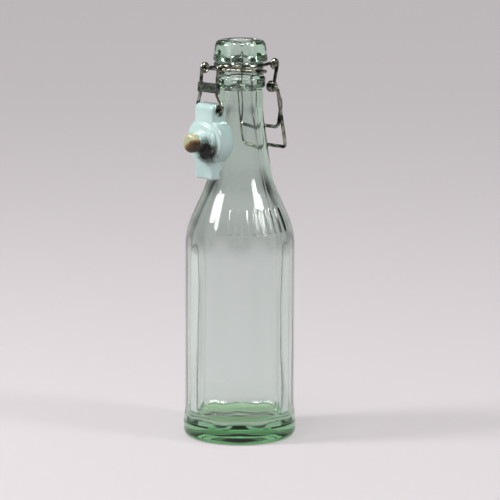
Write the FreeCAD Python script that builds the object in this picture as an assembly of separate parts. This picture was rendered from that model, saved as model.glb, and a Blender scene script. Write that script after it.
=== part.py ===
"""Swing top bottle with a wire lever closure, shown open.

Millimetres. +Z is up, the origin is the centre of the base on the bottle's axis.
All the closure's hinges turn about X. The stopper hangs on the -Y side of the
neck, the lever and the locking bail hang on the +Y side.
"""
import FreeCAD, Part
import math
import os

V = FreeCAD.Vector
ORIGIN = V(0, 0, 0)
X_AXIS = V(1, 0, 0)
Z_AXIS = V(0, 0, 1)

# bottle: outside
BOTTLE_HEIGHT = 215.0
BODY_RADIUS = 30.0
PANEL_COUNT = 9
PANEL_APOTHEM = 28.8
PANEL_FACING_DEG = -45.0
PANEL_RUN_OUT = 3.2
HEEL_RADIUS = 30.4
HEEL_HEIGHT = 8.2
HEEL_STEP = 0.8
HEEL_STEP_FILLET = 0.8
HEEL_FILLET = 2.8
BEARING_RADIUS = 21.0
PUNT_RADIUS = 13.0
PUNT_DEPTH = 2.2
PUNT_SLOPE = 0.5
PUNT_FILLET = 12.0
BEARING_FILLET = 1.5
SHOULDER_LENGTH = 27.65
SHOULDER_FILLET = 52.0
NECK_ROOT_RADIUS = 17.37
NECK_ROOT_FILLET = 58.0
NECK_TAPER_LENGTH = 37.25
NECK_RADIUS = 12.2
NECK_STRAIGHT_LENGTH = 12.6
NECK_FILLET = 40.0

# bottle: the finish round the mouth, measured down from the top
LIP_HEIGHT = 11.8
LIP_RADIUS = 13.1
LIP_ROUND = 3.4
LIP_SKIRT_RADIUS = 14.5
LIP_SKIRT_HEIGHT = 2.2
LIP_SKIRT_FILLET = 5.0
RECESS_HEIGHT = 7.2
RECESS_RADIUS = 12.3
LOWER_BEAD_HEIGHT = 7.0
LOWER_BEAD_RADIUS = 13.4
BEAD_SLOPE = 1.3
BEAD_FILLET = 1.4
LIP_EDGE_FILLET = 0.85
RECESS_FILLET = 0.5

# bottle: inside
MOUTH_RADIUS = 5.8
MOUTH_ROUND = 1.3
MOUTH_BORE_LENGTH = 35.0
MOUTH_BORE_FILLET = 40.0
INNER_NECK_RADIUS = 11.2
INNER_NECK_RISE = 2.85
INNER_NECK_FILLET = 45.0
INNER_BODY_RADIUS = 26.3
INNER_SHOULDER_DROP = 2.5
INNER_SHOULDER_FILLET = 44.0
FLOOR_THICKNESS = 8.6
FLOOR_CROWN = 0.8
INNER_HEEL_FILLET = 7.0

# wire and its bends
WIRE_RADIUS = 0.95
EYE_CLEARANCE = 0.25
SIDE_CLEARANCE = 0.3
NECK_CLEARANCE = 0.4
COLLAR_CLEARANCE = 0.2
EYE_SWEEP_DEG = 292.0
TIGHT_BEND = 1.9
PIN_BEND = 1.6
WIDE_BEND = 2.4

# hinge wire: a closed tilted loop round the neck, with the hinge bar on the -Y side
HINGE_Y = -20.5
HINGE_TILT_DEG = 6.0
HINGE_RING_LIFT = 2.85
HINGE_CORNER_ROOM = 1.8

# pivot wire: round the front of the neck, with a pin at each end on the +Y side
OVER_CENTRE = 0.7
PIN_ROOT = 2.35
PIN_HEAD_RADIUS = 1.5
PIN_HEAD_LENGTH = 0.6

# hinge link: a stirrup from the hinge bar to the stopper's lug
LINK_EYE_X = 6.15
LINK_REST_LEAN = 1.9
LINK_KNEE = 13.2
LINK_KNEE_BEND = 3.0
LINK_FOOT_X = 10.2

# clip: a sheet band that ties the two arms of the link
CLIP_TOP = 7.6
CLIP_HEIGHT = 5.0
CLIP_SHEET = 0.6
CLIP_CLEARANCE = 0.06

# stopper, in its own frame (x, v, w): the plug points to -w, the lug to -v
SEAT_GAP = 0.2
LUG_HALF_WIDTH = 7.0
LUG_REACH = 16.4
LUG_THICKNESS = 10.2
LUG_CROWN = 3.7
LUG_END_ROUND = 3.2
LUG_FILLET = 1.3
LUG_HOLE_CLEARANCE = 0.3
LUG_RECESS_RADIUS = 2.7
LUG_RECESS_DEPTH = 2.6
HEAD_RADIUS = 12.8
HEAD_THICKNESS = 11.4
HEAD_DOME = 0.9
HEAD_LOW_FILLET = 1.2
HEAD_HIGH_FILLET = 3.4
FOOT_HALF_WIDTH = 6.9
FOOT_REACH = 20.3
FOOT_THICKNESS = 7.8
FOOT_FILLET = 1.4
NOTCH_REACH = 17.4
NOTCH_DEPTH = 2.5
NOTCH_RADIUS = 2.4
SEAT_RADIUS = 9.7
SEAT_THICKNESS = 2.1
SEAT_FILLET = 0.7
BOSS_CLEARANCE = 0.3
BOSS_TAPER = 0.5
BOSS_LENGTH = 5.0
BOSS_FILLET = 1.0
STEM_RADIUS = 3.4
STEM_LENGTH = 2.5

# rubber seal over the stem
SEAL_CLEARANCE = 0.6
SEAL_LENGTH = 4.0
SEAL_ROUND = 2.2
SEAL_FIT = 0.03

# lever
LEVER_X = 11.7
COIL_PITCH = 1.75
COIL_DROP = 11.8
LEVER_BAR_GAP = 0.8
LEVER_DROP = 34.0
LEVER_BOW = 6.4
LEVER_BOW_DROP = 9.5
LEVER_BOW_BEND = 9.0

# locking bail
BAIL_TAPER = 1.3
BAIL_REST_LEAN = 8.0
BAIL_SEAT_GAP = 0.05

PART_DIR = "parts"

# places that follow from the sizes above
EYE_RADIUS = 2.0 * WIRE_RADIUS + EYE_CLEARANCE
COLLAR_RADIUS = RECESS_RADIUS + WIRE_RADIUS + COLLAR_CLEARANCE
RECESS_HIGH_Z = BOTTLE_HEIGHT - LIP_HEIGHT
RECESS_LOW_Z = RECESS_HIGH_Z - RECESS_HEIGHT
LOWER_BEAD_Z = RECESS_LOW_Z - LOWER_BEAD_HEIGHT
NECK_Z = LOWER_BEAD_Z - NECK_STRAIGHT_LENGTH
NECK_ROOT_Z = NECK_Z - NECK_TAPER_LENGTH
SHOULDER_Z = NECK_ROOT_Z - SHOULDER_LENGTH
INNER_NECK_Z = NECK_ROOT_Z + INNER_NECK_RISE
INNER_SHOULDER_Z = SHOULDER_Z - INNER_SHOULDER_DROP
HINGE_RING_Z = RECESS_LOW_Z + HINGE_RING_LIFT
HINGE_Z = HINGE_RING_Z - HINGE_Y * math.tan(math.radians(HINGE_TILT_DEG))
HINGE_CORNER_X = LINK_EYE_X + WIRE_RADIUS + HINGE_CORNER_ROOM

# the boss's end in the stopper's own frame
BOSS_END = -SEAT_THICKNESS - BOSS_LENGTH

# the stopper when it closes the mouth
HEAD_CLOSED_Z = BOTTLE_HEIGHT + SEAT_GAP + SEAT_THICKNESS
HOLE_W = LUG_THICKNESS / 2.0
HOLE_CLOSED_Y = -LUG_REACH
HOLE_CLOSED_Z = HEAD_CLOSED_Z + HOLE_W
BAR_CLOSED_Y = NOTCH_REACH
BAR_CLOSED_Z = HEAD_CLOSED_Z + FOOT_THICKNESS - NOTCH_DEPTH + WIRE_RADIUS + BAIL_SEAT_GAP

# the link reaches from the hinge to the lug hole of the closed stopper
LINK_LENGTH = math.hypot(HOLE_CLOSED_Y - HINGE_Y, HOLE_CLOSED_Z - HINGE_Z)
LINK_LEAN = math.asin(LINK_REST_LEAN / LINK_LENGTH)
HOLE_REST_Y = HINGE_Y - LINK_REST_LEAN
HOLE_REST_Z = HINGE_Z - LINK_LENGTH * math.cos(LINK_LEAN)

# the coil of the lever clears the lower bead, and the pivot lies outside its pull
PIVOT_Z = RECESS_HIGH_Z - WIRE_RADIUS - NECK_CLEARANCE
COIL_Z = PIVOT_Z - COIL_DROP
COIL_REACH = LOWER_BEAD_RADIUS + WIRE_RADIUS + NECK_CLEARANCE
COIL_Y = EYE_RADIUS + math.sqrt(COIL_REACH ** 2 - LEVER_X ** 2)
PULL_SLOPE = (BAR_CLOSED_Y - COIL_Y) / (BAR_CLOSED_Z - COIL_Z)
PIVOT_Y = COIL_Y + COIL_DROP * PULL_SLOPE + OVER_CENTRE
PIVOT_CORNER_X = LEVER_X - WIRE_RADIUS - PIN_ROOT
PIVOT_PIN_X = LEVER_X + WIRE_RADIUS + SIDE_CLEARANCE + PIN_HEAD_LENGTH
LEVER_LOW_X = LEVER_X + COIL_PITCH
LEVER_BAR_Z = PIVOT_Z - LEVER_DROP

# the bail reaches from the coil to the foot of the closed stopper
BAIL_LENGTH = math.hypot(BAR_CLOSED_Y - COIL_Y, BAR_CLOSED_Z - COIL_Z)
BAIL_BAR_Y = COIL_Y + BAIL_REST_LEAN
BAIL_BAR_Z = COIL_Z - math.sqrt(BAIL_LENGTH ** 2 - BAIL_REST_LEAN ** 2)
BAIL_X = LEVER_LOW_X + WIRE_RADIUS + SIDE_CLEARANCE + TIGHT_BEND
BAIL_BAR_X = BAIL_X - BAIL_TAPER
BAIL_PIN_X = LEVER_X - WIRE_RADIUS - SIDE_CLEARANCE


def rounded_edges(points, fillets):
    """Lines through points, each inner corner replaced by an arc that touches both lines."""
    stops = []
    last = len(points) - 1
    for i, (p, radius) in enumerate(zip(points, fillets)):
        if radius <= 0 or i in (0, last):
            stops.append((p, None, p))
            continue
        back = (points[i - 1] - p).normalize()
        ahead = (points[i + 1] - p).normalize()
        half = back.getAngle(ahead) / 2.0
        run = radius / math.tan(half)
        inward = (back + ahead).normalize()
        middle = p + inward * (radius / math.sin(half) - radius)
        stops.append((p + back * run, middle, p + ahead * run))
    edges = []
    for i, (start, middle, end) in enumerate(stops):
        if middle is not None:
            edges.append(Part.Arc(start, middle, end).toShape())
        if i < last and (stops[i + 1][0] - end).Length > 1e-6:
            edges.append(Part.makeLine(end, stops[i + 1][0]))
    return edges


def turned(rows):
    """A solid of revolution about Z from rows of (radius, height, fillet) along its section."""
    points = [V(r, 0, z) for r, z, fillet in rows]
    fillets = [fillet for r, z, fillet in rows]
    edges = rounded_edges(points, fillets)
    edges.append(Part.makeLine(points[-1], points[0]))
    return Part.Face(Part.Wire(edges)).revolve(ORIGIN, Z_AXIS, 360)


def pipe(edges):
    """A round wire along a path of lines and arcs."""
    path = Part.Wire(edges)
    first = path.OrderedEdges[0]
    start = first.valueAt(first.FirstParameter)
    along = first.tangentAt(first.FirstParameter)
    ring = Part.Wire(Part.makeCircle(WIRE_RADIUS, start, along))
    return path.makePipeShell([ring], True, False)


def one_solid(shape):
    """The single solid of a shape."""
    solids = shape.Solids
    if len(solids) != 1:
        raise ValueError("expected one solid, got %d" % len(solids))
    return solids[0]


def mirrored(p):
    """The point on the other side of the YZ plane."""
    return V(-p.x, p.y, p.z)


def tangent_angle(outside, centre, radius, side):
    """Angle on a circle where a line from outside touches it; side picks one of the two."""
    gap_u = outside[0] - centre[0]
    gap_v = outside[1] - centre[1]
    swing = math.acos(radius / math.hypot(gap_u, gap_v))
    return math.atan2(gap_v, gap_u) + side * swing


def eye_point(centre, x, angle):
    """A point of the wire's middle line on an eye about X; centre is (y, z)."""
    return V(x, centre[0] + EYE_RADIUS * math.cos(angle), centre[1] + EYE_RADIUS * math.sin(angle))


def open_eye(centre, x, touch_angle, turn):
    """The arc of a bent eye about X, from its free end to where the wire leaves it."""
    sweep = turn * math.radians(EYE_SWEEP_DEG)
    end = eye_point(centre, x, touch_angle + sweep)
    middle = eye_point(centre, x, touch_angle + sweep / 2.0)
    return Part.Arc(end, middle, eye_point(centre, x, touch_angle)).toShape()


def make_bottle():
    bead_top = RECESS_LOW_Z - BEAD_SLOPE
    bead_foot = LOWER_BEAD_Z + BEAD_SLOPE
    step_top = HEEL_HEIGHT + HEEL_STEP
    glass = turned([
        (0, PUNT_DEPTH, 0),
        (PUNT_RADIUS, PUNT_DEPTH - PUNT_SLOPE, PUNT_FILLET),
        (BEARING_RADIUS, 0, BEARING_FILLET),
        (HEEL_RADIUS, 0, HEEL_FILLET),
        (HEEL_RADIUS, HEEL_HEIGHT, HEEL_STEP_FILLET),
        (BODY_RADIUS, step_top, HEEL_STEP_FILLET),
        (BODY_RADIUS, SHOULDER_Z, SHOULDER_FILLET),
        (NECK_ROOT_RADIUS, NECK_ROOT_Z, NECK_ROOT_FILLET),
        (NECK_RADIUS, NECK_Z, NECK_FILLET),
        (NECK_RADIUS, LOWER_BEAD_Z, BEAD_FILLET),
        (LOWER_BEAD_RADIUS, bead_foot, BEAD_FILLET),
        (LOWER_BEAD_RADIUS, bead_top, BEAD_FILLET),
        (RECESS_RADIUS, RECESS_LOW_Z, RECESS_FILLET),
        (RECESS_RADIUS, RECESS_HIGH_Z, RECESS_FILLET),
        (LIP_SKIRT_RADIUS, RECESS_HIGH_Z + RECESS_FILLET, LIP_EDGE_FILLET),
        (LIP_SKIRT_RADIUS, RECESS_HIGH_Z + LIP_SKIRT_HEIGHT, LIP_SKIRT_FILLET),
        (LIP_RADIUS, BOTTLE_HEIGHT, LIP_ROUND),
        (MOUTH_RADIUS, BOTTLE_HEIGHT, MOUTH_ROUND),
        (MOUTH_RADIUS, BOTTLE_HEIGHT - MOUTH_BORE_LENGTH, MOUTH_BORE_FILLET),
        (INNER_NECK_RADIUS, INNER_NECK_Z, INNER_NECK_FILLET),
        (INNER_BODY_RADIUS, INNER_SHOULDER_Z, INNER_SHOULDER_FILLET),
        (INNER_BODY_RADIUS, FLOOR_THICKNESS, INNER_HEEL_FILLET),
        (0, FLOOR_THICKNESS + FLOOR_CROWN, 0),
    ])
    cuts = []
    for i in range(PANEL_COUNT):
        cut = panel_cut(step_top)
        cut.rotate(ORIGIN, Z_AXIS, PANEL_FACING_DEG + 360.0 * i / PANEL_COUNT)
        cuts.append(cut)
    return one_solid(glass.cut(cuts))


def panel_cut(foot_z):
    """What a flat panel that faces +X takes off; it runs out slantwise above the heel."""
    half_width = HEEL_RADIUS * math.sin(math.pi / PANEL_COUNT)
    outline = [
        V(PANEL_APOTHEM, -half_width, foot_z + PANEL_RUN_OUT),
        V(HEEL_RADIUS, -half_width, foot_z),
        V(HEEL_RADIUS, -half_width, SHOULDER_Z),
        V(PANEL_APOTHEM, -half_width, SHOULDER_Z),
    ]
    outline.append(outline[0])
    return Part.Face(Part.makePolygon(outline)).extrude(V(0, 2.0 * half_width, 0))


def make_hinge_wire():
    """Drawn flat with the hinge bar on X, then tilted about the bar."""
    middle_y = -HINGE_Y / math.cos(math.radians(HINGE_TILT_DEG))
    corner = V(HINGE_CORNER_X, 0, 0)
    angle = tangent_angle((corner.x, corner.y), (0, middle_y), COLLAR_RADIUS, 1)
    touch = V(COLLAR_RADIUS * math.cos(angle), middle_y + COLLAR_RADIUS * math.sin(angle), 0)
    bends = [0, TIGHT_BEND, TIGHT_BEND, 0]
    front = rounded_edges([mirrored(touch), mirrored(corner), corner, touch], bends)
    back = Part.Arc(touch, V(0, middle_y + COLLAR_RADIUS, 0), mirrored(touch)).toShape()
    wire = pipe(front + [back])
    wire.rotate(ORIGIN, X_AXIS, -HINGE_TILT_DEG)
    wire.translate(V(0, HINGE_Y, HINGE_Z))
    return one_solid(wire)


def make_pivot_wire():
    """Drawn at height zero, then lifted; the pins point outwards."""
    pin = V(PIVOT_PIN_X, PIVOT_Y, 0)
    corner = V(PIVOT_CORNER_X, PIVOT_Y, 0)
    angle = tangent_angle((corner.x, corner.y), (0, 0), COLLAR_RADIUS, -1)
    touch = V(COLLAR_RADIUS * math.cos(angle), COLLAR_RADIUS * math.sin(angle), 0)
    right = rounded_edges([pin, corner, touch], [0, PIN_BEND, 0])
    left = rounded_edges([mirrored(touch), mirrored(corner), mirrored(pin)], [0, PIN_BEND, 0])
    front = Part.Arc(touch, V(0, -COLLAR_RADIUS, 0), mirrored(touch)).toShape()
    wire = pipe(right + [front] + left)
    for side in (1, -1):
        inner = V(side * (PIVOT_PIN_X - PIN_HEAD_LENGTH), PIVOT_Y, 0)
        wire = wire.fuse(Part.makeCylinder(PIN_HEAD_RADIUS, PIN_HEAD_LENGTH, inner, V(side, 0, 0)))
    wire.translate(V(0, 0, PIVOT_Z))
    return one_solid(wire.removeSplitter())


def hang_on_hinge(shape):
    """From the link's frame, hinge axis at the origin and hanging plumb, to its rest place."""
    shape.rotate(ORIGIN, X_AXIS, -math.degrees(LINK_LEAN))
    shape.translate(V(0, HINGE_Y, HINGE_Z))
    return one_solid(shape)


def make_hinge_link():
    """Eyes round the hinge bar, straight arms, knees, and a bar through the stopper's lug."""
    knee = V(LINK_EYE_X, -EYE_RADIUS, -LINK_KNEE)
    foot = V(LINK_FOOT_X, 0, -LINK_LENGTH)
    touch = V(LINK_EYE_X, -EYE_RADIUS, 0)
    points = [touch, knee, foot, mirrored(foot), mirrored(knee), mirrored(touch)]
    bends = [0, LINK_KNEE_BEND, TIGHT_BEND, TIGHT_BEND, LINK_KNEE_BEND, 0]
    right_eye = open_eye((0, 0), LINK_EYE_X, math.pi, -1)
    left_eye = open_eye((0, 0), -LINK_EYE_X, math.pi, -1)
    return hang_on_hinge(pipe([right_eye] + rounded_edges(points, bends) + [left_eye]))


def oval(half_span, radius):
    """A closed outline with round ends, in the plane of the clip's top edge."""
    low = -EYE_RADIUS - radius
    high = -EYE_RADIUS + radius
    right_end = V(half_span + radius, -EYE_RADIUS, -CLIP_TOP)
    front = Part.makeLine(V(-half_span, low, -CLIP_TOP), V(half_span, low, -CLIP_TOP))
    right = Part.Arc(V(half_span, low, -CLIP_TOP), right_end, V(half_span, high, -CLIP_TOP)).toShape()
    back = Part.makeLine(V(half_span, high, -CLIP_TOP), V(-half_span, high, -CLIP_TOP))
    left = Part.Arc(V(-half_span, high, -CLIP_TOP), mirrored(right_end),
                    V(-half_span, low, -CLIP_TOP)).toShape()
    return Part.Wire([front, right, back, left])


def make_link_clip():
    inner = WIRE_RADIUS + CLIP_CLEARANCE
    drop = V(0, 0, -CLIP_HEIGHT)
    band = Part.Face(oval(LINK_EYE_X, inner + CLIP_SHEET)).extrude(drop)
    band = band.cut(Part.Face(oval(LINK_EYE_X, inner)).extrude(drop))
    return hang_on_hinge(band)


def hang_stopper(shape):
    """From the stopper's frame to its rest place: plate upright, plug pointing to -Y."""
    shape.translate(V(0, LUG_REACH, -HOLE_W))
    shape.rotate(ORIGIN, X_AXIS, -90)
    shape.translate(V(0, HOLE_REST_Y, HOLE_REST_Z))
    return one_solid(shape)


def side_edges(shape, half_width):
    """The edges that outline the two side faces of a block across X."""
    found = []
    for edge in shape.Edges:
        box = edge.BoundBox
        if box.XLength < 1e-6 and abs(abs(box.XMin) - half_width) < 1e-6:
            found.append(edge)
    return found


def make_lug():
    """A block across X with a rounded end just past the hole."""
    end = -LUG_REACH - LUG_CROWN
    corners = [
        V(-LUG_HALF_WIDTH, 0, LUG_THICKNESS),
        V(-LUG_HALF_WIDTH, end, LUG_THICKNESS),
        V(-LUG_HALF_WIDTH, end, 0),
        V(-LUG_HALF_WIDTH, 0, 0),
    ]
    edges = rounded_edges(corners, [0, LUG_END_ROUND, LUG_END_ROUND, 0])
    edges.append(Part.makeLine(corners[-1], corners[0]))
    lug = Part.Face(Part.Wire(edges)).extrude(V(2.0 * LUG_HALF_WIDTH, 0, 0))
    return lug.makeFillet(LUG_FILLET, side_edges(lug, LUG_HALF_WIDTH))


def make_foot():
    """The tongue that the locking bail presses on, with a shallow saddle for its bar."""
    corner = V(-FOOT_HALF_WIDTH, 0, 0)
    foot = Part.makeBox(2.0 * FOOT_HALF_WIDTH, FOOT_REACH, FOOT_THICKNESS, corner)
    end_edges = [e for e in foot.Edges if e.BoundBox.YMin > FOOT_REACH - 1e-6]
    foot = foot.makeFillet(FOOT_FILLET, side_edges(foot, FOOT_HALF_WIDTH) + end_edges)
    saddle_w = FOOT_THICKNESS - NOTCH_DEPTH + NOTCH_RADIUS
    start = V(-FOOT_HALF_WIDTH, NOTCH_REACH, saddle_w)
    return foot.cut(Part.makeCylinder(NOTCH_RADIUS, 2.0 * FOOT_HALF_WIDTH, start, X_AXIS))


def make_stopper():
    head = turned([
        (0, 0, 0),
        (HEAD_RADIUS, 0, HEAD_LOW_FILLET),
        (HEAD_RADIUS, HEAD_THICKNESS, HEAD_HIGH_FILLET),
        (0, HEAD_THICKNESS + HEAD_DOME, 0),
    ])
    boss_radius = MOUTH_RADIUS - BOSS_CLEARANCE
    plug = turned([
        (0, BOSS_END - STEM_LENGTH, 0),
        (STEM_RADIUS, BOSS_END - STEM_LENGTH, 0),
        (STEM_RADIUS, BOSS_END, 0),
        (boss_radius - BOSS_TAPER, BOSS_END, 0),
        (boss_radius, -SEAT_THICKNESS, BOSS_FILLET),
        (SEAT_RADIUS, -SEAT_THICKNESS, SEAT_FILLET),
        (SEAT_RADIUS, HOLE_W, 0),
        (0, HOLE_W, 0),
    ])
    body = head.fuse([make_lug(), make_foot(), plug])
    low = V(-LUG_HALF_WIDTH, -LUG_REACH, HOLE_W)
    hole_radius = WIRE_RADIUS + LUG_HOLE_CLEARANCE
    body = body.cut(Part.makeCylinder(hole_radius, 2.0 * LUG_HALF_WIDTH, low, X_AXIS))
    for side in (1, -1):
        mouth = V(side * LUG_HALF_WIDTH, -LUG_REACH, HOLE_W)
        inward = V(-side, 0, 0)
        body = body.cut(Part.makeCylinder(LUG_RECESS_RADIUS, LUG_RECESS_DEPTH, mouth, inward))
    return hang_stopper(body.removeSplitter())


def make_stopper_seal():
    """A rubber cap over the stem at the boss's end, a running fit in the mouth's bore."""
    radius = MOUTH_RADIUS - SEAL_CLEARANCE
    low = BOSS_END - SEAL_LENGTH
    bore = STEM_RADIUS + SEAL_FIT
    bore_end = BOSS_END - STEM_LENGTH - SEAL_FIT
    cap = turned([
        (0, low, 0),
        (radius, low, SEAL_ROUND),
        (radius, BOSS_END, 0),
        (bore, BOSS_END, 0),
        (bore, bore_end, 0),
        (0, bore_end, 0),
    ])
    return hang_stopper(cap)


def make_lever():
    """Two upper arms from the pivot pins to the coils, and a handle loop with bowed arms."""
    pivot = (PIVOT_Y, PIVOT_Z)
    coil = (COIL_Y, COIL_Z)
    bar_y = lever_bar_y()
    outward = math.atan2(PIVOT_Z - COIL_Z, PIVOT_Y - COIL_Y) - math.pi / 2.0
    arms = []
    for side in (1, -1):
        x = side * LEVER_X
        line = Part.makeLine(eye_point(pivot, x, outward), eye_point(coil, x, outward))
        arms.append(pipe([open_eye(pivot, x, outward, 1), line, open_eye(coil, x, outward, -1)]))
    bow = V(LEVER_LOW_X, COIL_Y + LEVER_BOW, COIL_Z - LEVER_BOW_DROP)
    leave = tangent_angle((bow.y, bow.z), coil, EYE_RADIUS, 1)
    touch = eye_point(coil, LEVER_LOW_X, leave)
    corner = V(LEVER_LOW_X, bar_y, LEVER_BAR_Z)
    right = [touch, bow, corner]
    points = right + [mirrored(p) for p in reversed(right)]
    bends = [0, LEVER_BOW_BEND, WIDE_BEND, WIDE_BEND, LEVER_BOW_BEND, 0]
    loop = rounded_edges(points, bends)
    right_eye = open_eye(coil, LEVER_LOW_X, leave, 1)
    left_eye = open_eye(coil, -LEVER_LOW_X, leave, 1)
    handle = pipe([right_eye] + loop + [left_eye])
    return one_solid(handle.fuse(arms))


def lever_bar_y():
    """The handle bar rests close to the neck, whose wall is straight at that height."""
    slope = (NECK_ROOT_RADIUS - NECK_RADIUS) / (NECK_Z - NECK_ROOT_Z)
    wall = NECK_RADIUS + slope * max(NECK_Z - LEVER_BAR_Z, 0.0)
    return wall + LEVER_BAR_GAP + WIRE_RADIUS


def make_locking_bail():
    pin = V(BAIL_PIN_X, COIL_Y, COIL_Z)
    shoulder = V(BAIL_X, COIL_Y, COIL_Z)
    corner = V(BAIL_BAR_X, BAIL_BAR_Y, BAIL_BAR_Z)
    right = [pin, shoulder, corner]
    points = right + [mirrored(p) for p in reversed(right)]
    bends = [0, TIGHT_BEND, WIDE_BEND, WIDE_BEND, TIGHT_BEND, 0]
    return one_solid(pipe(rounded_edges(points, bends)))


MAKERS = {
    "bottle": make_bottle,
    "hinge_wire": make_hinge_wire,
    "pivot_wire": make_pivot_wire,
    "hinge_link": make_hinge_link,
    "link_clip": make_link_clip,
    "stopper": make_stopper,
    "stopper_seal": make_stopper_seal,
    "lever": make_lever,
    "locking_bail": make_locking_bail,
}

os.makedirs(PART_DIR, exist_ok=True)
for name, make in MAKERS.items():
    solid = make()
    print(name, "valid" if solid.isValid() else "INVALID", "%.1f mm3" % solid.Volume)
    solid.exportStep(os.path.join(PART_DIR, name + ".step"))
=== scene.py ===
import math

import bpy
import bmesh
from mathutils import Matrix, Vector, noise


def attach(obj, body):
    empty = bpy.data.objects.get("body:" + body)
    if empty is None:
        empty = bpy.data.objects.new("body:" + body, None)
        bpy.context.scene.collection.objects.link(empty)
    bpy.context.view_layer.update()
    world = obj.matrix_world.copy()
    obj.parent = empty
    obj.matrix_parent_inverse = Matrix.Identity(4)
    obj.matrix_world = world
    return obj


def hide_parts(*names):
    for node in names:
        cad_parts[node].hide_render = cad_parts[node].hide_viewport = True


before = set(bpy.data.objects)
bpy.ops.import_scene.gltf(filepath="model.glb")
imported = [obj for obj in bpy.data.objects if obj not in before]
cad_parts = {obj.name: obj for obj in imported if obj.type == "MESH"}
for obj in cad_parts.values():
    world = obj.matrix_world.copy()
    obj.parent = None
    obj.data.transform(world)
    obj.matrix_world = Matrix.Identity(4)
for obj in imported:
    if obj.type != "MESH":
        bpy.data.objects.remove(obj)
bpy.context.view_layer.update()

MM = 0.001
TINY = 1e-6

# camera, in metres: the photograph looks down on the corner between +X and -Y
CAMERA_AZIMUTH_DEG = 45.0
CAMERA_DISTANCE = 1.50
CAMERA_HEIGHT = 0.371
CAMERA_LENS_MM = 203.6
CAMERA_SENSOR_MM = 36.0
CAMERA_ROLL_DEG = 0.18
AIM_RIGHT = 0.0054
AIM_HEIGHT = 0.1012

# bottle, in millimetres
BOTTLE_HEIGHT = 215.0
HEEL_RADIUS = 30.4
BODY_RADIUS = 30.0
NECK_RADIUS = 12.2
BEAD_RADIUS = 13.4
RECESS_RADIUS = 12.3
LIP_RADIUS = 14.5
RIM_RADIUS = 8.4
BORE_RADIUS = 5.8
INNER_RADIUS = 26.3
PANEL_COUNT = 9
PANEL_APOTHEM = 28.8
PANEL_FACING_DEG = -45.0
PANEL_FOOT_Z = 9.0
PANEL_RUN_OUT = 5.5
PANEL_EDGE_SOFTNESS = 0.75
PANEL_REACH = 2.0

# corners of the glass: radius, height and rounding
GLASS_OUTSIDE = [
    (0.0, 2.2, 0.0),
    (13.0, 1.7, 12.0),
    (21.0, 0.0, 1.5),
    (HEEL_RADIUS, 0.0, 2.8),
    (HEEL_RADIUS, 8.2, 0.8),
    (BODY_RADIUS, PANEL_FOOT_Z, 0.8),
    (BODY_RADIUS, 111.5, 52.0),
    (17.37, 139.15, 58.0),
    (NECK_RADIUS, 176.4, 40.0),
    (NECK_RADIUS, 189.0, 1.4),
    (BEAD_RADIUS, 190.3, 1.4),
    (BEAD_RADIUS, 194.7, 1.4),
    (RECESS_RADIUS, 196.0, 0.5),
    (RECESS_RADIUS, 203.2, 0.5),
    (LIP_RADIUS, 203.7, 0.85),
    (LIP_RADIUS, 205.4, 5.0),
    (13.1, BOTTLE_HEIGHT, 3.4),
    (RIM_RADIUS, BOTTLE_HEIGHT, 0.0),
]
GLASS_INSIDE = [
    (RIM_RADIUS, BOTTLE_HEIGHT, 0.0),
    (BORE_RADIUS, BOTTLE_HEIGHT, 1.3),
    (BORE_RADIUS, 180.0, 40.0),
    (11.2, 142.0, 45.0),
    (INNER_RADIUS, 109.0, 44.0),
    (INNER_RADIUS, 8.6, 7.0),
    (0.0, 9.4, 0.0),
]
GLASS_SEGMENTS = 324
ROW_STEP = 2.4
FINE_ROW_STEP = 0.5
ARC_STEP_DEG = 6.0
LEAST_ARC_STEPS = 4

# slow waves and finer ripples of the inner wall, which calm down towards the bore
INSIDE_WAVE = 0.22
WAVE_TURN = 2.2
WAVE_RISE = 0.02
RIPPLE_TURN = 5.0
RIPPLE_RISE = 0.035
RIPPLE_START = 9.0
RIPPLE_SHARE = 0.6
CALM_RADIUS = 6.5
CALM_RUN = 6.0

# a row of raised upright ribs on the shoulder
RIB_COUNT = 9
RIB_MIDDLE_DEG = -20.0
RIB_STEP_DEG = 9.0
RIB_Z = 120.5
RIB_HEIGHT = 0.55
RIB_HALF_WIDTH = 1.5
RIB_HALF_LENGTH = 5.4
RIB_ZONE = (113.0, 128.0)

# the two seams of the mould
SEAM_HEIGHT = 0.16
SEAM_HALF_WIDTH = 0.75
SEAM_ZONE = (6.0, 188.0)

# the glass: its surface is greener on the floor and the heel
WALL_COLOUR = (0.90, 0.915, 0.915)
BASE_COLOUR = (0.64, 0.92, 0.60)
BASE_FLOOR_Z = 12.0
BASE_HEEL_Z = 8.4
GLASS_IOR = 1.51
GLASS_TINT = (0.12, 0.80, 0.32)
GLASS_DENSITY = 19.0

# the stopper as it hangs, in millimetres: the hole in its lug, its plug, and the reach of its stains and of
# the dirt and painted shade round the plug
LUG_HOLE_Y = -22.4
LUG_HOLE_Z = 179.3
PLUG_BELOW_HOLE = 16.4
PLUG_HALF_HEIGHT = 4.2
PLUG_HALF_WIDTH = 5.2
SEAT_FACE_Y = -29.6
RUST_CORE = 1.8
RUST_EDGE = 4.2
RUST_MOST = 0.95
# where the dark patch round the plug lies: dirt plus the plug's painted shadow on the seat, below and to the
# right
DIRT_AND_SHADE_RIGHT = 3.6
DIRT_AND_SHADE_LOW = 4.4
DIRT_AND_SHADE_CORE = 4.6
DIRT_AND_SHADE_EDGE = 8.4
DIRT_AND_SHADE_MOST = 0.97
STAIN_RAGGED = 1.2
GLAZE_VOXEL = 0.25
GLAZE_FLOW = 0.5
GLAZE_SMOOTHING = 10

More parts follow.
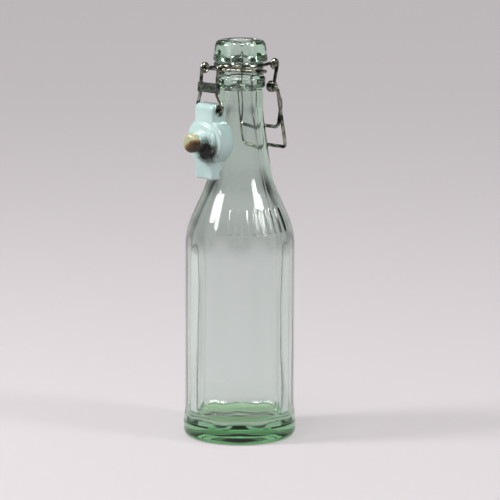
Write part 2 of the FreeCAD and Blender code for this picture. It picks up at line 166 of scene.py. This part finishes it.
# colours of the closure
WIRE_NODES = ("hinge_wire", "pivot_wire", "hinge_link", "lever", "locking_bail")
WIRE_DARK = (0.020, 0.022, 0.016)
WIRE_BRIGHT = (0.42, 0.425, 0.35)
WIRE_TARNISH = (0.03, 0.024, 0.012)
CLIP_DARK = (0.012, 0.016, 0.012)
CLIP_BRIGHT = (0.10, 0.125, 0.10)
GLAZE_DEEP = (0.48, 0.66, 0.63)
GLAZE_PALE = (0.57, 0.73, 0.70)
# the dark of the patch round the plug: dirt and painted shadow
DIRT_AND_SHADE_COLOUR = (0.022, 0.020, 0.012)
RUST_COLOUR = (0.055, 0.05, 0.015)
# rubber colours that carry painted light: dark for the shaded underside and right, cream for the lit top and
# left
RUBBER_SHADED_DARK = (0.035, 0.017, 0.003)
RUBBER_AMBER = (0.17, 0.09, 0.018)
RUBBER_LIT_CREAM = (0.46, 0.46, 0.28)

# the studio, in metres; a place is an azimuth and an elevation in degrees
BACKGROUND = (0.60, 0.563, 0.58)
WORLD_LIGHT = 0.35
FLOOR_SIZE = 6.0
FLOOR_COLOUR = (0.34, 0.319, 0.329)
FLOOR_GLOW = 0.60
DOME_RADIUS = 1.7
DOME_SEGMENTS = 48
DOME_RINGS = 24
DOME_PALE = 0.88
DOME_PALE_Z = 0.06
DOME_DARK = 0.10
DOME_DARK_Z = 0.60
WINDOW_GLOW = 24.0
WINDOW_HALF_DEG = 9.0
WINDOW_EDGE_DEG = 2.0
KEY_PLACE = (-33.0, 39.0)
FILL_PLACE = (109.0, 41.0)
TOP_PLACE = (20.0, 68.0)
LAMP_AIM_HEIGHT = 0.12

# lamps: name, place, distance, width and height, and power in watts
LAMPS = [
    ("key", KEY_PLACE, 1.1, (0.24, 0.40), 9.5),
    ("fill", FILL_PLACE, 1.2, (0.18, 0.36), 5.0),
    ("top", TOP_PLACE, 1.2, (0.4, 0.4), 3.5),
]

# the sockets of a mix node that take and give colours
MIX_FIRST = 6
MIX_SECOND = 7
MIX_RESULT = 2


def new_material(name):
    material = bpy.data.materials.new(name)
    material.use_nodes = True
    tree = material.node_tree
    tree.nodes.clear()
    output = tree.nodes.new("ShaderNodeOutputMaterial")
    shader = tree.nodes.new("ShaderNodeBsdfPrincipled")
    tree.links.new(shader.outputs["BSDF"], output.inputs["Surface"])
    return material, tree, shader, output


def node(tree, kind, **values):
    made = tree.nodes.new(kind)
    for key, value in values.items():
        setattr(made, key, value)
    return made


def object_coords(tree):
    return node(tree, "ShaderNodeTexCoord").outputs["Object"]


def axis_values(tree, coords):
    """The X, Y and Z outputs of a place."""
    made = node(tree, "ShaderNodeSeparateXYZ")
    tree.links.new(coords, made.inputs[0])
    return made.outputs


def noise_texture(tree, coords, scale, detail=4.0, roughness=0.55):
    made = node(tree, "ShaderNodeTexNoise")
    made.inputs["Scale"].default_value = scale
    made.inputs["Detail"].default_value = detail
    made.inputs["Roughness"].default_value = roughness
    tree.links.new(coords, made.inputs["Vector"])
    return made.outputs["Fac"]


def ramp(tree, factor, stops):
    made = node(tree, "ShaderNodeValToRGB")
    elements = made.color_ramp.elements
    while len(elements) < len(stops):
        elements.new(0.5)
    for element, (place, colour) in zip(elements, stops):
        element.position = place
        element.color = (*colour, 1.0)
    tree.links.new(factor, made.inputs["Fac"])
    return made.outputs["Color"]


def map_range(tree, value, low, high, to_low, to_high):
    made = node(tree, "ShaderNodeMapRange")
    for name, number in zip(("From Min", "From Max", "To Min", "To Max"), (low, high, to_low, to_high)):
        made.inputs[name].default_value = number
    tree.links.new(value, made.inputs["Value"])
    return made.outputs["Result"]


def combine(tree, operation, first, second):
    """Two values put together by an operation of the math node."""
    made = node(tree, "ShaderNodeMath", operation=operation)
    tree.links.new(first, made.inputs[0])
    tree.links.new(second, made.inputs[1])
    return made.outputs[0]


def vector_math(tree, operation, vector, constant=None):
    """The outputs of a vector operation, with a fixed second vector where it needs one."""
    made = node(tree, "ShaderNodeVectorMath", operation=operation)
    tree.links.new(vector, made.inputs[0])
    if constant is not None:
        made.inputs[1].default_value = constant
    return made.outputs


def mix_colour(tree, factor, first, second):
    made = node(tree, "ShaderNodeMix", data_type="RGBA")
    tree.links.new(factor, made.inputs["Factor"])
    for socket, colour in ((made.inputs[MIX_FIRST], first), (made.inputs[MIX_SECOND], second)):
        if isinstance(colour, tuple):
            socket.default_value = (*colour, 1.0)
        else:
            tree.links.new(colour, socket)
    return made.outputs[MIX_RESULT]


def add_bump(tree, shader, height, strength, distance):
    made = node(tree, "ShaderNodeBump")
    made.inputs["Strength"].default_value = strength
    made.inputs["Distance"].default_value = distance
    tree.links.new(height, made.inputs["Height"])
    tree.links.new(made.outputs["Normal"], shader.inputs["Normal"])


def glass_material(name, colour):
    material, tree, shader, output = new_material(name)
    shader.inputs["Base Color"].default_value = (*colour, 1.0)
    shader.inputs["Transmission Weight"].default_value = 1.0
    shader.inputs["IOR"].default_value = GLASS_IOR
    coords = object_coords(tree)
    haze = noise_texture(tree, coords, scale=60.0)
    dull = map_range(tree, haze, low=0.45, high=0.8, to_low=0.0, to_high=0.05)
    tree.links.new(dull, shader.inputs["Roughness"])
    waves = noise_texture(tree, coords, scale=140.0, detail=2.0)
    add_bump(tree, shader, waves, strength=0.05, distance=0.0004)
    absorption = node(tree, "ShaderNodeVolumeAbsorption")
    absorption.inputs["Color"].default_value = (*GLASS_TINT, 1.0)
    absorption.inputs["Density"].default_value = GLASS_DENSITY
    tree.links.new(absorption.outputs["Volume"], output.inputs["Volume"])
    return material


def wire_material():
    material, tree, shader, _ = new_material("drawn_wire")
    coords = object_coords(tree)
    shader.inputs["Metallic"].default_value = 1.0
    broad = noise_texture(tree, coords, scale=300.0)
    spots = noise_texture(tree, coords, scale=1500.0, detail=6.0)
    metal = ramp(tree, broad, [(0.38, WIRE_DARK), (0.64, WIRE_BRIGHT)])
    tarnish = map_range(tree, spots, low=0.56, high=0.70, to_low=0.0, to_high=0.8)
    tree.links.new(mix_colour(tree, tarnish, metal, WIRE_TARNISH), shader.inputs["Base Color"])
    dull = map_range(tree, spots, low=0.3, high=0.75, to_low=0.10, to_high=0.28)
    tree.links.new(dull, shader.inputs["Roughness"])
    add_bump(tree, shader, spots, strength=0.25, distance=0.0001)
    return material


def clip_material():
    material, tree, shader, _ = new_material("clip_sheet")
    coords = object_coords(tree)
    shader.inputs["Metallic"].default_value = 0.85
    spangle = noise_texture(tree, coords, scale=700.0)
    tree.links.new(ramp(tree, spangle, [(0.35, CLIP_DARK), (0.68, CLIP_BRIGHT)]), shader.inputs["Base Color"])
    dull = map_range(tree, spangle, low=0.3, high=0.7, to_low=0.35, to_high=0.6)
    tree.links.new(dull, shader.inputs["Roughness"])
    add_bump(tree, shader, spangle, strength=0.2, distance=0.0001)
    return material


def stained_distance(tree, coords, place, weights):
    """Weighted distance from a place in metres, made ragged by noise."""
    centred = vector_math(tree, "SUBTRACT", coords, place)["Vector"]
    weighted = vector_math(tree, "MULTIPLY", centred, weights)["Vector"]
    away = vector_math(tree, "LENGTH", weighted)["Value"]
    patches = noise_texture(tree, coords, scale=500.0)
    shift = STAIN_RAGGED * MM
    ragged = map_range(tree, patches, low=0.3, high=0.7, to_low=-shift, to_high=shift)
    return combine(tree, "ADD", away, ragged)


def hole_stain(tree, coords):
    """Rust and dirt that spread from the lug's hole."""
    place = (0.0, LUG_HOLE_Y * MM, LUG_HOLE_Z * MM)
    away = stained_distance(tree, coords, place, weights=(0.0, 1.0, 1.0))
    return map_range(tree, away, low=RUST_CORE * MM, high=RUST_EDGE * MM, to_low=RUST_MOST, to_high=0.0)


def plug_dirt_and_shade(tree, coords):
    """Dirt and painted shade on the boss and the seat, heaviest below the boss and on its right, where the
    boss's shadow falls.
    """
    place = (DIRT_AND_SHADE_RIGHT * MM, SEAT_FACE_Y * MM, (LUG_HOLE_Z - PLUG_BELOW_HOLE - DIRT_AND_SHADE_LOW) * MM)
    away = stained_distance(tree, coords, place, weights=(1.0, 0.8, 1.0))
    return map_range(tree, away, low=DIRT_AND_SHADE_CORE * MM, high=DIRT_AND_SHADE_EDGE * MM, to_low=DIRT_AND_SHADE_MOST, to_high=0.0)


def porcelain_material():
    """Glaze that loses its shine under the dark patch of dirt and painted shade round the plug."""
    material, tree, shader, _ = new_material("glazed_porcelain")
    coords = object_coords(tree)
    tint = noise_texture(tree, coords, scale=90.0)
    glaze = ramp(tree, tint, [(0.35, GLAZE_DEEP), (0.65, GLAZE_PALE)])
    # painted shade: the plug's shadow and the shade under it, mixed with dirt
    dirt_and_shade = plug_dirt_and_shade(tree, coords)
    dirty_and_shaded = mix_colour(tree, dirt_and_shade, glaze, DIRT_AND_SHADE_COLOUR)
    worn = mix_colour(tree, hole_stain(tree, coords), dirty_and_shaded, RUST_COLOUR)
    tree.links.new(worn, shader.inputs["Base Color"])
    shader.inputs["Roughness"].default_value = 0.14
    shader.inputs["Coat Roughness"].default_value = 0.06
    for socket, clean, dirty in (("Coat Weight", 0.6, 0.0), ("Specular IOR Level", 0.5, 0.15)):
        shine = map_range(tree, dirt_and_shade, low=0.0, high=DIRT_AND_SHADE_MOST, to_low=clean, to_high=dirty)
        tree.links.new(shine, shader.inputs[socket])
    dimples = noise_texture(tree, coords, scale=220.0)
    add_bump(tree, shader, dimples, strength=0.06, distance=0.0004)
    return material


def rubber_material():
    """Painted light on amber rubber: shaded dark below and on the right, lit cream above and on the left,
    amber between, with stains.
    """
    material, tree, shader, _ = new_material("amber_rubber")
    coords = object_coords(tree)
    axes = axis_values(tree, coords)
    middle = (LUG_HOLE_Z - PLUG_BELOW_HOLE) * MM
    tall = PLUG_HALF_HEIGHT * MM
    wide = PLUG_HALF_WIDTH * MM
    # painted light and shade: lighter towards the top and the left, darker below and on the right; the
    # blotches are stains
    height = map_range(tree, axes["Z"], low=middle - tall, high=middle + tall, to_low=0.0, to_high=0.75)
    side = map_range(tree, axes["X"], low=-wide, high=wide, to_low=0.22, to_high=-0.32)
    blotches = noise_texture(tree, coords, scale=170.0, detail=2.0)
    stain = map_range(tree, blotches, low=0.25, high=0.75, to_low=-0.08, to_high=0.12)
    painted_light_and_stain = combine(tree, "ADD", combine(tree, "ADD", height, side), stain)
    colour = ramp(tree, painted_light_and_stain, [(0.12, RUBBER_SHADED_DARK), (0.28, RUBBER_AMBER), (0.40, RUBBER_LIT_CREAM)])
    tree.links.new(colour, shader.inputs["Base Color"])
    shader.inputs["Roughness"].default_value = 0.32
    pores = noise_texture(tree, coords, scale=900.0)
    add_bump(tree, shader, pores, strength=0.15, distance=0.0002)
    return material


def rounded_corner(before, corner, after, radius):
    """Points on the arc that touches both lines at a corner."""
    back = (before - corner).normalized()
    ahead = (after - corner).normalized()
    half = back.angle(ahead) / 2.0
    run = radius / math.tan(half)
    centre = corner + (back + ahead).normalized() * (radius / math.sin(half))
    start = corner + back * run - centre
    end = corner + ahead * run - centre
    turn = start.angle(end)
    steps = max(LEAST_ARC_STEPS, int(turn / math.radians(ARC_STEP_DEG)), int(radius * turn / ROW_STEP))
    points = []
    for i in range(steps + 1):
        share = i / steps
        a = math.sin((1.0 - share) * turn) / math.sin(turn)
        b = math.sin(share * turn) / math.sin(turn)
        points.append(centre + start * a + end * b)
    return points


def section(rows):
    """Points along a section of lines with rounded corners."""
    corners = [Vector((r, z)) for r, z, _ in rows]
    path = [corners[0]]
    for i in range(1, len(rows) - 1):
        rounding = rows[i][2]
        if rounding > 0:
            path += rounded_corner(corners[i - 1], corners[i], corners[i + 1], rounding)
        else:
            path.append(corners[i])
    path.append(corners[-1])
    return path


def refined(path, fine_zone=None):
    """The same path with no step longer than the row step, or than the fine step in a zone of heights."""
    out = [path[0]]
    for there in path[1:]:
        here = out[-1]
        middle_z = (here.y + there.y) / 2.0
        fine = fine_zone and fine_zone[0] < middle_z < fine_zone[1]
        step = FINE_ROW_STEP if fine else ROW_STEP
        length = (there - here).length
        if length < TINY:
            continue
        count = max(1, math.ceil(length / step))
        for i in range(1, count + 1):
            out.append(here.lerp(there, i / count))
    return out


def smooth_step(x):
    x = min(max(x, 0.0), 1.0)
    return x * x * (3.0 - 2.0 * x)


def softer_minimum(a, b, width):
    """The smaller of two values, rounded off where they differ by less than the width."""
    gap = max(width - abs(a - b), 0.0) / width
    return min(a, b) - gap * gap * width / 4.0


def panel_radius(angle, z):
    """Distance from the axis to the flat panel that faces this way, which runs out above the heel."""
    share = 2.0 * math.pi / PANEL_COUNT
    off = (angle - math.radians(PANEL_FACING_DEG) + share / 2.0) % share - share / 2.0
    lift = max(PANEL_FOOT_Z + PANEL_RUN_OUT - z, 0.0) / PANEL_RUN_OUT
    return (PANEL_APOTHEM + smooth_step(lift) * (HEEL_RADIUS - PANEL_APOTHEM)) / math.cos(off)


def ribs(angle, radius, z):
    """Height of the row of ribs above the plain glass."""
    if not RIB_ZONE[0] < z < RIB_ZONE[1]:
        return 0.0
    off = (angle - math.radians(RIB_MIDDLE_DEG) + math.pi) % (2.0 * math.pi) - math.pi
    place = off / math.radians(RIB_STEP_DEG)
    nearest = round(place)
    if abs(nearest) > RIB_COUNT // 2:
        return 0.0
    across = (place - nearest) * math.radians(RIB_STEP_DEG) * radius
    past_end = max(abs(z - RIB_Z) - RIB_HALF_LENGTH, 0.0)
    return RIB_HEIGHT * smooth_step(1.0 - math.hypot(across, past_end) / RIB_HALF_WIDTH)


def seam(angle, radius, z):
    """Height of the mould's seams, which run up both sides in the plane of X and Z."""
    if not SEAM_ZONE[0] < z < SEAM_ZONE[1]:
        return 0.0
    off = (angle + math.pi / 2.0) % math.pi - math.pi / 2.0
    return SEAM_HEIGHT * smooth_step(1.0 - abs(off) * radius / SEAM_HALF_WIDTH)


def outside_radius(angle, r, z):
    """Radius of the outer face: the section cut by the panels, with ribs and seams on it."""
    if r > PANEL_APOTHEM - PANEL_REACH:
        r = softer_minimum(r, panel_radius(angle, z), PANEL_EDGE_SOFTNESS)
    return r + ribs(angle, r, z) + seam(angle, r, z)


def inside_radius(angle, r, z):
    """Radius of the inner face: the section with waves and ripples."""
    x = math.cos(angle)
    y = math.sin(angle)
    wave = noise.noise((WAVE_TURN * x, WAVE_TURN * y, z * WAVE_RISE))
    ripple = noise.noise((RIPPLE_TURN * x, RIPPLE_TURN * y, z * RIPPLE_RISE + RIPPLE_START))
    share = smooth_step((r - CALM_RADIUS) / CALM_RUN)
    return r + INSIDE_WAVE * share * (wave + RIPPLE_SHARE * ripple)


def in_the_base(p, radius_at):
    """Whether a row lies on the floor inside the bottle, under it or on the heel."""
    if radius_at is inside_radius:
        return p.y < BASE_FLOOR_Z
    return p.y < BASE_HEEL_Z


def glass_ring(mesh, p, radius_at):
    """The points of a row round the axis, or the single point of a row on the axis."""
    if p.x < TINY:
        return [mesh.verts.new((0.0, 0.0, p.y * MM))]
    ring = []
    for i in range(GLASS_SEGMENTS):
        angle = 2.0 * math.pi * i / GLASS_SEGMENTS
        r = radius_at(angle, p.x, p.y) * MM
        ring.append(mesh.verts.new((r * math.cos(angle), r * math.sin(angle), p.y * MM)))
    return ring


def glass_band(mesh, low, high, material_index):
    """The faces between two rows."""
    for i in range(GLASS_SEGMENTS):
        k = (i + 1) % GLASS_SEGMENTS
        if len(low) == 1:
            corners = (low[0], high[k], high[i])
        elif len(high) == 1:
            corners = (low[i], low[k], high[0])
        else:
            corners = (low[i], low[k], high[k], high[i])
        mesh.faces.new(corners).material_index = material_index


def make_bottle(wall_material, base_material):
    """One closed glass body: up the outside, over the rim and down the inside."""
    outside = refined(section(GLASS_OUTSIDE), RIB_ZONE)
    inside = refined(section(GLASS_INSIDE))[1:]
    rows = [(p, outside_radius) for p in outside] + [(p, inside_radius) for p in inside]
    mesh = bmesh.new()
    rings = [glass_ring(mesh, p, radius_at) for p, radius_at in rows]
    for row, low, high in zip(rows, rings, rings[1:]):
        glass_band(mesh, low, high, 1 if in_the_base(*row) else 0)
    data = bpy.data.meshes.new("glass_body")
    mesh.to_mesh(data)
    mesh.free()
    data.polygons.foreach_set("use_smooth", [True] * len(data.polygons))
    piece = bpy.data.objects.new("glass_body", data)
    bpy.context.scene.collection.objects.link(piece)
    data.materials.append(wall_material)
    data.materials.append(base_material)
    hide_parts("bottle")
    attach(piece, "bottle")


def soften_stopper():
    """Rounds the stopper's edges as glaze does; the mesh under the modifiers stays as it is."""
    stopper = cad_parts["stopper"]
    melt = stopper.modifiers.new("melt", "REMESH")
    melt.mode = "VOXEL"
    melt.voxel_size = GLAZE_VOXEL * MM
    melt.use_smooth_shade = True
    flow = stopper.modifiers.new("flow", "SMOOTH")
    flow.factor = GLAZE_FLOW
    flow.iterations = GLAZE_SMOOTHING


def dress(name, material):
    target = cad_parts[name]
    target.data.materials.clear()
    target.data.materials.append(material)


def make_camera():
    azimuth = math.radians(CAMERA_AZIMUTH_DEG)
    right = Vector((math.cos(azimuth), math.sin(azimuth), 0.0))
    toward = Vector((math.sin(azimuth), -math.cos(azimuth), 0.0))
    place = toward * CAMERA_DISTANCE + Vector((0.0, 0.0, CAMERA_HEIGHT))
    aim = right * AIM_RIGHT + Vector((0.0, 0.0, AIM_HEIGHT))
    data = bpy.data.cameras.new("camera")
    data.lens = CAMERA_LENS_MM
    data.sensor_width = CAMERA_SENSOR_MM
    camera = bpy.data.objects.new("camera", data)
    camera.location = place
    turn = (aim - place).to_track_quat("-Z", "Y").to_matrix()
    roll = Matrix.Rotation(math.radians(CAMERA_ROLL_DEG), 3, "Z")
    camera.rotation_euler = (turn @ roll).to_euler()
    bpy.context.scene.collection.objects.link(camera)
    bpy.context.scene.camera = camera


def seen_directly(tree):
    """One for what the camera sees, also in metal and through glass, and zero for light on the object."""
    path = node(tree, "ShaderNodeLightPath")
    seen = path.outputs["Is Camera Ray"]
    for ray in ("Is Glossy Ray", "Is Transmission Ray"):
        seen = combine(tree, "MAXIMUM", seen, path.outputs[ray])
    return seen


def make_world():
    world = bpy.data.worlds.new("studio")
    world.use_nodes = True
    tree = world.node_tree
    tree.nodes.clear()
    output = tree.nodes.new("ShaderNodeOutputWorld")
    shown = node(tree, "ShaderNodeBackground")
    shown.inputs["Color"].default_value = (*BACKGROUND, 1.0)
    light = node(tree, "ShaderNodeBackground")
    light.inputs["Color"].default_value = (1.0, 1.0, 1.0, 1.0)
    light.inputs["Strength"].default_value = WORLD_LIGHT
    mix = node(tree, "ShaderNodeMixShader")
    tree.links.new(seen_directly(tree), mix.inputs["Fac"])
    tree.links.new(light.outputs[0], mix.inputs[1])
    tree.links.new(shown.outputs[0], mix.inputs[2])
    tree.links.new(mix.outputs[0], output.inputs["Surface"])
    bpy.context.scene.world = world


def make_floor():
    material, tree, shader, _ = new_material("floor")
    shader.inputs["Base Color"].default_value = (*FLOOR_COLOUR, 1.0)
    shader.inputs["Roughness"].default_value = 0.9
    shader.inputs["Specular IOR Level"].default_value = 0.1
    shader.inputs["Emission Color"].default_value = (*BACKGROUND, 1.0)
    glow = map_range(tree, seen_directly(tree), low=0.0, high=1.0, to_low=0.0, to_high=FLOOR_GLOW)
    tree.links.new(glow, shader.inputs["Emission Strength"])
    bpy.ops.mesh.primitive_plane_add(size=FLOOR_SIZE)
    floor = bpy.context.active_object
    floor.name = "floor"
    floor.data.materials.append(material)


def direction(place):
    """The way to a place given as azimuth, from -Y towards +X, and elevation in degrees."""
    azimuth = math.radians(place[0])
    elevation = math.radians(place[1])
    level = math.cos(elevation)
    return Vector((math.sin(azimuth) * level, -math.cos(azimuth) * level, math.sin(elevation)))


def window(tree, way, place):
    """The glow of a round window that lies in the direction of a place."""
    facing = vector_math(tree, "DOT_PRODUCT", way, direction(place))["Value"]
    inner = math.cos(math.radians(WINDOW_HALF_DEG))
    outer = math.cos(math.radians(WINDOW_HALF_DEG + WINDOW_EDGE_DEG))
    return map_range(tree, facing, low=outer, high=inner, to_low=0.0, to_high=WINDOW_GLOW)


def make_dome():
    """Surroundings that only glass and shine show: pale near the floor, dark above, with two windows."""
    material, tree, shader, output = new_material("surroundings")
    tree.nodes.remove(shader)
    coords = object_coords(tree)
    height = axis_values(tree, coords)["Z"]
    strength = map_range(tree, height, DOME_PALE_Z, DOME_DARK_Z, DOME_PALE, DOME_DARK)
    way = vector_math(tree, "NORMALIZE", coords)["Vector"]
    for place in (KEY_PLACE, FILL_PLACE):
        strength = combine(tree, "ADD", strength, window(tree, way, place))
    glow = node(tree, "ShaderNodeEmission")
    glow.inputs["Color"].default_value = (*BACKGROUND, 1.0)
    tree.links.new(strength, glow.inputs["Strength"])
    tree.links.new(glow.outputs["Emission"], output.inputs["Surface"])
    bpy.ops.mesh.primitive_uv_sphere_add(segments=DOME_SEGMENTS, ring_count=DOME_RINGS, radius=DOME_RADIUS)
    dome = bpy.context.active_object
    dome.name = "surroundings"
    dome.data.materials.append(material)
    dome.visible_camera = False
    dome.visible_diffuse = False
    dome.visible_shadow = False
    dome.visible_volume_scatter = False


def make_lamp(name, place, distance, size, power):
    aim = Vector((0.0, 0.0, LAMP_AIM_HEIGHT))
    out = direction(place)
    data = bpy.data.lights.new(name, "AREA")
    data.shape = "RECTANGLE"
    data.size = size[0]
    data.size_y = size[1]
    data.energy = power
    lamp = bpy.data.objects.new(name, data)
    lamp.location = aim + out * distance
    lamp.rotation_euler = (-out).to_track_quat("-Z", "Y").to_euler()
    bpy.context.scene.collection.objects.link(lamp)


wire = wire_material()
make_bottle(glass_material("bottle_glass", WALL_COLOUR), glass_material("base_glass", BASE_COLOUR))
for wire_node in WIRE_NODES:
    dress(wire_node, wire)
dress("link_clip", clip_material())
dress("stopper", porcelain_material())
soften_stopper()
dress("stopper_seal", rubber_material())
make_camera()
make_world()
make_floor()
make_dome()
for lamp_values in LAMPS:
    make_lamp(*lamp_values)
bpy.context.scene.view_settings.view_transform = "Standard"
